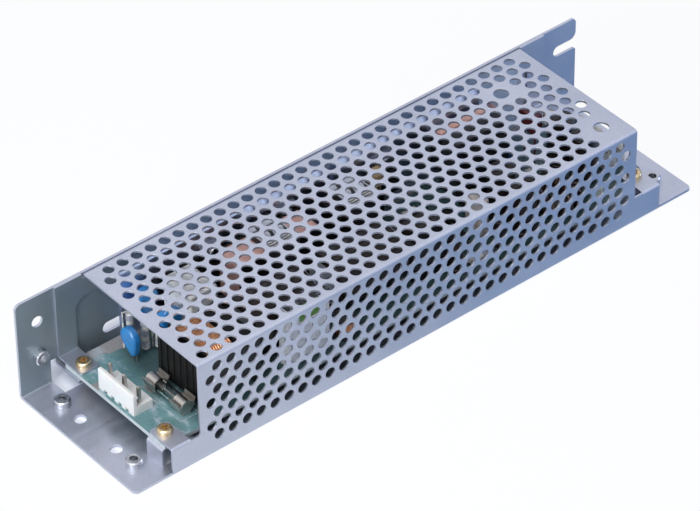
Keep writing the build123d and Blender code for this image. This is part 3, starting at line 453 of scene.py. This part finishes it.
def sleeve():
    """Shrink sleeve, nearly black brown, with a faint ripple."""
    look = Look("shrink_sleeve", rough=0.28, Coat_Weight=0.15,
                Coat_Roughness=0.15, Specular_IOR_Level=0.3)
    cloud = look.noise(70, 3)
    ripple = look.noise(260, 3, stretch=(0.3, 1, 1))
    look.colour(look.ramp(cloud, [(0.3, (0.012, 0.008, 0.007)),
                                  (0.7, (0.026, 0.016, 0.013))]))
    look.rough(look.level(ripple, 0.22, 0.38))
    look.bump(ripple, 0.3, 0.00008)
    return look.mat


def clear_glass():
    """Fuse glass: clear, with a faint uneven tint."""
    look = Look("fuse_glass", rough=0.0, Transmission_Weight=1.0,
                IOR=1.32)
    haze = look.noise(300, 3)
    look.colour(look.ramp(haze, [(0.3, (0.86, 0.90, 0.90)),
                                 (0.7, (0.97, 0.98, 0.98))]))
    return look.mat


def film_box():
    """White moulded box: dark potting on top, a green field in front."""
    look = Look("film_box", rough=0.4)
    low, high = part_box("film_capacitor")
    field_half, field_h, bars_below = 0.0042, 0.0078, 0.0110
    cloud = look.noise(160, 3)
    skin = look.noise(1800, 3)
    white = look.ramp(cloud, [(0.3, (0.74, 0.76, 0.80)),
                              (0.7, (0.86, 0.87, 0.90))])
    grain = look.noise(700, 3)
    resin = look.ramp(grain, [(0.50, (0.030, 0.030, 0.034)),
                              (0.66, (0.30, 0.31, 0.36))])
    top = look.level(look.facing(2), 0.0, 1.0, 0.4, 0.6)
    x, z = look.axis(0), look.axis(2)
    field = look.times(
        look.within(x, (low[0] + high[0]) / 2, field_half),
        look.above(z, high[2] - field_h))
    face = look.mix(field, white, (0.13, 0.30, 0.05))
    # Fine bars of print, with no lettering.
    bars = look.add("ShaderNodeTexBrick", Vector=look.place(
        (1, 1, 1), (math.radians(90), 0, 0)), Scale=260)
    bars.inputs["Mortar Size"].default_value = 0.16
    bars.inputs["Mortar Smooth"].default_value = 0.1
    ink = look.times(look.minus(1.0, bars.outputs["Fac"]), look.times(
        look.below(z, high[2] - bars_below), 0.30))
    face = look.mix(ink, face, (0.20, 0.22, 0.28))
    look.colour(look.mix(top, face, resin))
    look.rough(look.level(skin, 0.32, 0.48))
    look.bump(skin, 0.25, 0.00003, edge=0.00015)
    return look.mat


def blue_dip():
    """Blue dipped coat that ends in bare leads below the neck."""
    look = Look("blue_epoxy", Coat_Weight=0.7, Coat_Roughness=0.12)
    first_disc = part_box("disc_capacitors")[0][0]
    neck, raised_neck = BOARD_TOP + 0.0031, BOARD_TOP + 0.0092
    cloud = look.noise(160, 3)
    skin = look.noise(420, 3)
    coat = look.ramp(cloud, [(0.3, (0.015, 0.15, 0.42)),
                             (0.7, (0.03, 0.24, 0.56))])
    x, z = look.axis(0), look.axis(2)
    # The coat ends lower on the disc nearest the open end.
    ends_at = look.level(x, neck, raised_neck, first_disc + 0.0035,
                         first_disc + 0.0040)
    bare = look.below(z, ends_at)
    look.colour(look.mix(bare, coat, (0.62, 0.60, 0.55)))
    look.metal(bare)
    look.rough(look.level(skin, 0.14, 0.30))
    look.bump(skin, 0.25, 0.00012, edge=0.00015)
    return look.mat


def lacquer():
    """Grey lacquer with cream bands across each resistor: colour bands on the lying ones,
    painted highlights of knobbly rings on the standing ones.
    """
    look = Look("resistor_lacquer", Coat_Weight=0.5)
    cloud = look.noise(160, 3)
    grey = look.ramp(cloud, [(0.3, (0.30, 0.31, 0.36)),
                             (0.7, (0.44, 0.45, 0.50))])
    # The standing resistors are the ones near the open end.
    standing_end = -0.07
    standing = look.below(look.axis(0), standing_end)
    rings = look.mix(standing, look.wave(70, "X"), look.wave(70, "Z"))
    band_and_highlight = look.level(rings, 0.0, 0.85, 0.55, 0.75)
    look.colour(look.mix(band_and_highlight, grey, (0.78, 0.74, 0.66)))
    skin = look.noise(1800, 3)
    look.rough(look.level(skin, 0.22, 0.38))
    look.bump(skin, 0.25, 0.00003)
    return look.mat


LOOKS = {
    "steel": steel(),
    "board": board(),
    "screw": plated("yellow_zinc", (0.52, 0.36, 0.18), (0.82, 0.68, 0.44),
                    0.28),
    "nut": plated("bright_zinc", (0.40, 0.41, 0.44), (0.60, 0.61, 0.64),
                  0.28),
    "white": moulded("white_nylon", (0.62, 0.62, 0.61), (0.72, 0.72, 0.71),
                     0.42, inner=0.25),
    "tin": plated("tinned_metal", (0.40, 0.37, 0.34), (0.64, 0.61, 0.57),
                  0.30, scale=420),
    "clear_glass": clear_glass(),
    "blue_coat": blue_dip(),
    "ferrite": ferrite(),
    "black": moulded("black_moulding", (0.005, 0.005, 0.005),
                     (0.012, 0.012, 0.012), 0.5, shine=0.25),
    "copper": wire("enamelled_copper", (0.52, 0.22, 0.095),
                   (0.80, 0.42, 0.22), 1.0),
    "dark_wire": wire("dark_enamel", (0.045, 0.022, 0.016),
                      (0.12, 0.060, 0.040), 0.5),
    "maroon": moulded("maroon_dip", (0.10, 0.018, 0.020),
                      (0.20, 0.040, 0.040), 0.24, grain=420,
                      depth=0.0001, coat=0.6),
    "pink_tape": tape("pink_tape", (0.88, 0.48, 0.41), (0.96, 0.60, 0.53)),
    "box_white": moulded("white_box", (0.66, 0.67, 0.67),
                         (0.84, 0.84, 0.83), 0.38),
    "film_box": film_box(),
    "can": plated("drawn_aluminium", (0.62, 0.66, 0.74),
                  (0.80, 0.83, 0.90), 0.42, metal=0.5),
    "sleeve": sleeve(),
    # Aluminium whose blue tint is a painted reflection of blue light.
    "plate": plated("aluminium_painted_blue_reflection", (0.46, 0.55, 0.74),
                    (0.58, 0.66, 0.84), 0.36),
    "tan_coat": moulded("tan_dip", (0.68, 0.46, 0.25), (0.82, 0.60, 0.36),
                        0.45, grain=600, depth=0.0001),
    "ceramic": moulded("ceramic_body", (0.66, 0.58, 0.55),
                       (0.78, 0.70, 0.67), 0.6),
    "resistor_coat": lacquer(),
    "lens": moulded("milky_lens", (0.62, 0.66, 0.58),
                    (0.76, 0.80, 0.72), 0.18, inner=0.3),
    "trimmer_blue": moulded("trimmer_blue", (0.02, 0.09, 0.26),
                            (0.03, 0.14, 0.36), 0.4),
}

SLOTS = {s["node"]: s["material_slot"] for s in frame["record"]["subparts"]}


def dress_nodes():
    """Gives every solid the look of its slot in the record."""
    for name, node in frame["nodes"].items():
        for place in node.material_slots:
            place.material = LOOKS[SLOTS[name]]


def new_piece(name, data, slot_name):
    """A finished object from a mesh or curve, riding on the housing."""
    piece = bpy.data.objects.new(name, data)
    bpy.context.scene.collection.objects.link(piece)
    data.materials.append(LOOKS[slot_name])
    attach(piece, "housing")
    return piece


def mesh_piece(name, mesh, slot_name):
    """Turns a bmesh into a finished piece."""
    data = bpy.data.meshes.new(name)
    bmesh.ops.recalc_face_normals(mesh, faces=mesh.faces[:])
    mesh.to_mesh(data)
    mesh.free()
    return new_piece(name, data, slot_name)


def blocks(pairs, soft):
    """Blocks with softened edges, from pairs of corners in mm."""
    mesh = bmesh.new()
    for low, high in pairs:
        size = [(b - a) * MM for a, b in zip(low, high)]
        mid = [(a + b) / 2 * MM for a, b in zip(low, high)]
        bmesh.ops.create_cube(mesh, size=1.0, matrix=Matrix.Translation(
            mid) @ Matrix.Diagonal((*size, 1.0)))
    bmesh.ops.bevel(mesh, geom=mesh.edges[:], offset=soft * MM, segments=3,
                    affect="EDGES", profile=0.5)
    return mesh


def wires(name, paths, wire_d, slot_name, roundness=3, caps=True):
    """Round wires along open paths, as one curve."""
    data = bpy.data.curves.new(name, "CURVE")
    data.dimensions = "3D"
    data.bevel_depth = wire_d / 2
    data.bevel_resolution = roundness
    data.use_fill_caps = caps
    for path in paths:
        line = data.splines.new("POLY")
        line.points.add(len(path) - 1)
        for point, at in zip(line.points, path):
            point.co = (*at, 1)
        line.use_smooth = True
    return new_piece(name, data, slot_name)


def rounded_path(half_u, half_v, r):
    """Points of a rounded rectangle, its corners as true arcs."""
    count = 7
    points = []
    signs = ((1, 1), (-1, 1), (-1, -1), (1, -1))
    for quarter, (su, sv) in enumerate(signs):
        for i in range(count):
            a = math.pi / 2 * (quarter + i / (count - 1))
            points.append((su * (half_u - r) + r * math.cos(a),
                           sv * (half_v - r) + r * math.sin(a)))
    return points


def winding(name, node, axis, wire_d, corner):
    """One layer of copper, wound as a helix in place of a plain coil."""
    low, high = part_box(node)
    mid = [(a + b) / 2 for a, b in zip(low, high)]
    half = [(b - a) / 2 - wire_d / 2 for a, b in zip(low, high)]
    u, v = [i for i in range(3) if i != axis]
    turn = rounded_path(half[u], half[v], corner)
    count = int(2 * half[axis] / wire_d) * len(turn)
    path = []
    for i in range(count):
        at = list(mid)
        at[axis] += half[axis] * (2 * i / (count - 1) - 1)
        at[u] += turn[i % len(turn)][0]
        at[v] += turn[i % len(turn)][1]
        path.append(at)
    coil = wires(name, [path], wire_d, "copper", roundness=2, caps=False)
    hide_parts(node)


def wind_coils():
    """The line choke's flat-sided coil and the small choke's round one."""
    winding("line_choke_winding", "line_choke_coil", 0, LINE_WIRE,
            2.2 * MM)
    low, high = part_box("small_choke_coil")
    radius = (high[0] - low[0] - SMALL_WIRE) / 2
    winding("small_choke_winding", "small_choke_coil", 2, SMALL_WIRE,
            radius - 0.02 * MM)


def clips_and_turns(tops):
    """A notched spring clip and three turns over each core's top, in mm."""
    leaves = (
        ((-5.9, -2.4), (-2.0, -2.4), (-0.9, 0.2), (-1.2, 3.4), (-5.9, 3.4)),
        ((-0.4, -2.4), (3.9, -2.4), (4.9, 0.2), (4.6, 3.4), (0.5, 3.4),
         (0.7, 0.6)),
        ((5.3, -2.4), (5.9, -2.4), (5.9, 3.4), (5.6, 3.4)),
        ((-5.9, 4.0), (-3.4, 4.0), (-2.6, 7.5), (-5.9, 7.5)),
        ((-1.9, 4.0), (5.9, 4.0), (5.9, 7.5), (1.5, 7.5), (0.4, 5.6),
         (-1.0, 7.5)))
    leaf_thick, rib_z = 0.4, 0.45
    rib_xs, rib_ys = (-4.6, -2.9, 1.6, 3.0), (-2.2, 3.2)
    turn_ys = (-4.1, -5.4, -6.7)
    turn = ((-6.6, -1.4), (-6.6, 0.2), (-6.3, 0.5), (6.3, 0.5), (6.6, 0.2),
            (6.6, -1.4))
    mesh = bmesh.new()
    paths = []
    for x, y, z in tops:
        for leaf in leaves:
            flat = [mesh.verts.new(((x + u) * MM, (y + v) * MM, z * MM))
                    for u, v in leaf]
            face = mesh.faces.new(flat)
            raised = bmesh.ops.extrude_face_region(mesh, geom=[face])
            bmesh.ops.translate(mesh, vec=(0, 0, leaf_thick * MM), verts=[
                v for v in raised["geom"]
                if isinstance(v, bmesh.types.BMVert)])
        ribs = [[(u, v, rib_z) for v in rib_ys] for u in rib_xs]
        turns = [[(u, v, w) for u, w in turn] for v in turn_ys]
        for path in ribs + turns:
            paths.append([((x + u) * MM, (y + v) * MM, (z + w) * MM)
                          for u, v, w in path])
    mesh_piece("core_clips", mesh, "can")
    wires("core_turns", paths, TURN_WIRE, "box_white")


def box_mm(node):
    """A node's corners in mm."""
    return [[value / MM for value in corner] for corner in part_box(node)]


def second_inductor():
    """A wound core like the first one, in the free place beside it, in mm."""
    x, y, top, foot = 5.0, 12.2, 35.0, 10.0
    half_x, half_y, leg, yoke, base = 6.0, 7.6, 2.2, 3.5, 3.0
    coil_x, coil_y, coil_z = 9.0, 5.0, (13.5, 31.0)
    cheek_y, cheek, rail, overlap, gap = 5.4, 0.8, 2.0, 0.4, 0.2
    soft, coil_soft = 0.2, 1.6
    west, east, south, north = x - half_x, x + half_x, y - half_y, y + half_y
    seat, under = foot + base, top - yoke
    mesh_piece("second_inductor_core", blocks([
        ((west, south, under), (east, north, top)),
        ((west, south, seat), (east, south + leg, under)),
        ((west, north - leg, seat), (east, north, under)),
        ((west, south, foot), (east, north, seat))], soft), "ferrite")
    mesh_piece("second_inductor_coil", blocks([
        ((x - coil_x, y - coil_y, coil_z[0]),
         (x + coil_x, y + coil_y, coil_z[1]))], coil_soft), "sleeve")
    front, back = y - cheek_y, y + cheek_y
    left, right = x - coil_x - cheek, x + coil_x + cheek
    shelf, lid = foot + rail, coil_z[1] + overlap
    mesh_piece("second_inductor_bobbin", blocks([
        ((left, front, shelf), (left + cheek, back, lid)),
        ((right - cheek, front, shelf), (right, back, lid)),
        ((left, front, foot), (west - gap, back, shelf)),
        ((east + gap, front, foot), (right, back, shelf))], soft), "black")
    # The first core's clip stands a little nearer the front.
    low, high = box_mm("pfc_choke_core")
    first_x, first_y = (low[0] + high[0]) / 2, (low[1] + high[1]) / 2
    clips_and_turns([(first_x, first_y - 1.0, high[2]), (x, y, top)])


def transformer_strip():
    """Taped winding that stands out along the transformer's rear, in mm."""
    low, high = box_mm("main_transformer_coil")
    past_left, past_right, past_rear = 2.9, 7.4, 0.8
    width, sunk, rise, soft = 3.3, 0.4, 2.4, 0.8
    back = high[1] + past_rear
    mesh_piece("main_transformer_strip", blocks([
        ((low[0] - past_left, back - width, high[2] - sunk),
         (high[0] + past_right, back, high[2] + rise))], soft),
        "pink_tape")


def look_at_matrix():
    """The camera's axes from its azimuth, elevation and roll."""
    az, el = math.radians(CAMERA_AZIMUTH), math.radians(CAMERA_ELEVATION)
    forward = Vector((math.cos(el) * math.sin(az),
                      math.cos(el) * math.cos(az), -math.sin(el)))
    right = forward.cross(Vector((0, 0, 1))).normalized()
    up = right.cross(forward)
    axes = Matrix((right, up, -forward)).transposed().to_4x4()
    return axes @ Matrix.Rotation(math.radians(CAMERA_ROLL), 4, "Z")


def make_camera():
    """The photograph's own viewpoint."""
    data = bpy.data.cameras.new("camera")
    data.lens = LENS
    data.sensor_width = SENSOR
    data.clip_end = 20
    camera = bpy.data.objects.new("camera", data)
    bpy.context.scene.collection.objects.link(camera)
    camera.matrix_world = Matrix.Translation(CAMERA_AT) @ look_at_matrix()
    bpy.context.scene.camera = camera


def make_floor():
    """A wide pale floor that keeps the shadow of the case.

    To glossy rays it glows with a painted reflection, a sheet that runs from white to
    blue.
    """
    data = bpy.data.meshes.new("floor")
    r = FLOOR_HALF
    data.from_pydata([(-r, -r, 0), (r, -r, 0), (r, r, 0), (-r, r, 0)], [],
                     [(0, 1, 2, 3)])
    floor = bpy.data.objects.new("floor", data)
    floor.location.z = CASE[0][2] - FLOOR_DROP
    bpy.context.scene.collection.objects.link(floor)
    look = Look("floor", rough=0.9)
    look.colour((0.88, 0.91, 0.99, 1.0))
    (_, front, _), (end, rear, _) = CASE
    shade_slant, shade_far, glow_share = 0.8, (0.010, 0.018), 0.90
    x, y = look.axis(0), look.axis(1)
    # No glow below the case, nor in its shade behind the rear wall.
    behind = look.larger(look.minus(y, rear), 0.0)
    aside = look.magnitude(look.minus(x, look.times(behind, shade_slant)))
    beyond = look.level(aside, 0.0, 1.0, end - 0.006, end + 0.001)
    ahead = look.level(y, 1.0, 0.0, front - 0.001, front + 0.005)
    far = look.level(behind, 0.0, 1.0, *shade_far)
    clear = look.larger(beyond, look.larger(ahead, far))
    # Painted reflection: a glow seen only by glossy rays, white at the input end to blue.
    sheet = look.ramp(look.level(x, 0.0, 1.0, *PAINTED_REFLECTION_X), PAINTED_REFLECTION)
    mirrored = look.times(clear, look.rays("Is Glossy Ray"))
    seen = look.times(look.times(clear, glow_share),
                      look.rays("Is Camera Ray"))
    lower = look.blend(mirrored, look.bsdf.outputs[0], look.glow(sheet))
    upper = look.blend(seen, lower, look.glow((1.0, 1.0, 1.0, 1.0)))
    look.feed(look.tree.nodes["Material Output"].inputs["Surface"], upper)
    data.materials.append(look.mat)


def make_world():
    """White to the camera; softly graded light for everything else."""
    world = bpy.data.worlds.new("studio")
    bpy.context.scene.world = world
    world.use_nodes = True
    world.node_tree.nodes.clear()
    net = Net(world.node_tree)
    side = net.add("ShaderNodeVectorMath")
    side.operation = "DOT_PRODUCT"
    lightest = Vector((-0.75, 0.05, 0.66))
    side.inputs[1].default_value = lightest.normalized()
    net.feed(side.inputs[0], net.where)
    fac = net.level(side.outputs["Value"], 0.0, 1.0, -1.0, 1.0)
    sky = net.ramp(fac, [(0.05, (0.13, 0.22, 0.44)),
                         (0.50, (0.90, 0.93, 1.03)),
                         (0.80, (1.05, 1.06, 1.10))])
    dim = net.ramp(fac, [(0.05, (0.05, 0.08, 0.16)),
                         (0.75, (0.22, 0.23, 0.26))])
    light = []
    for colour in (dim, sky, (1.0, 1.0, 1.0, 1.0)):
        light.append(net.add("ShaderNodeBackground",
                             Color=colour).outputs[0])
    inner = net.blend(net.rays("Is Glossy Ray"), light[0], light[1])
    whole = net.blend(net.rays("Is Camera Ray"), inner, light[2])
    out = net.tree.nodes.new("ShaderNodeOutputWorld")
    net.feed(out.inputs["Surface"], whole)


def softbox(name, at, aim, size, power, colour):
    """One rectangular lamp at a place, turned to what it lights."""
    data = bpy.data.lights.new(name, "AREA")
    data.shape = "RECTANGLE"
    data.size, data.size_y = size
    data.energy = power
    data.color = colour
    light = bpy.data.objects.new(name, data)
    light.location = at
    way = Vector(aim) - Vector(at)
    light.rotation_euler = way.to_track_quat("-Z", "Y").to_euler()
    bpy.context.scene.collection.objects.link(light)


def make_lights():
    """A warm key from above, a cool one at the left, blue at the right."""
    softbox("key", (-0.6, -0.3, 1.4), (0, 0, 0), (1.0, 0.8), 16,
            (1.0, 0.99, 0.97))
    softbox("left", (-1.2, -0.35, 0.45), (-0.1, 0, 0), (0.5, 0.3), 11,
            (0.90, 0.95, 1.0))
    softbox("side", (1.3, -0.5, 0.4), (0, 0, 0), (0.7, 0.5), 5,
            (0.40, 0.58, 1.0))


dress_nodes()
wind_coils()
second_inductor()
transformer_strip()
make_camera()
make_floor()
make_world()
make_lights()
bpy.context.scene.view_settings.view_transform = "Standard"
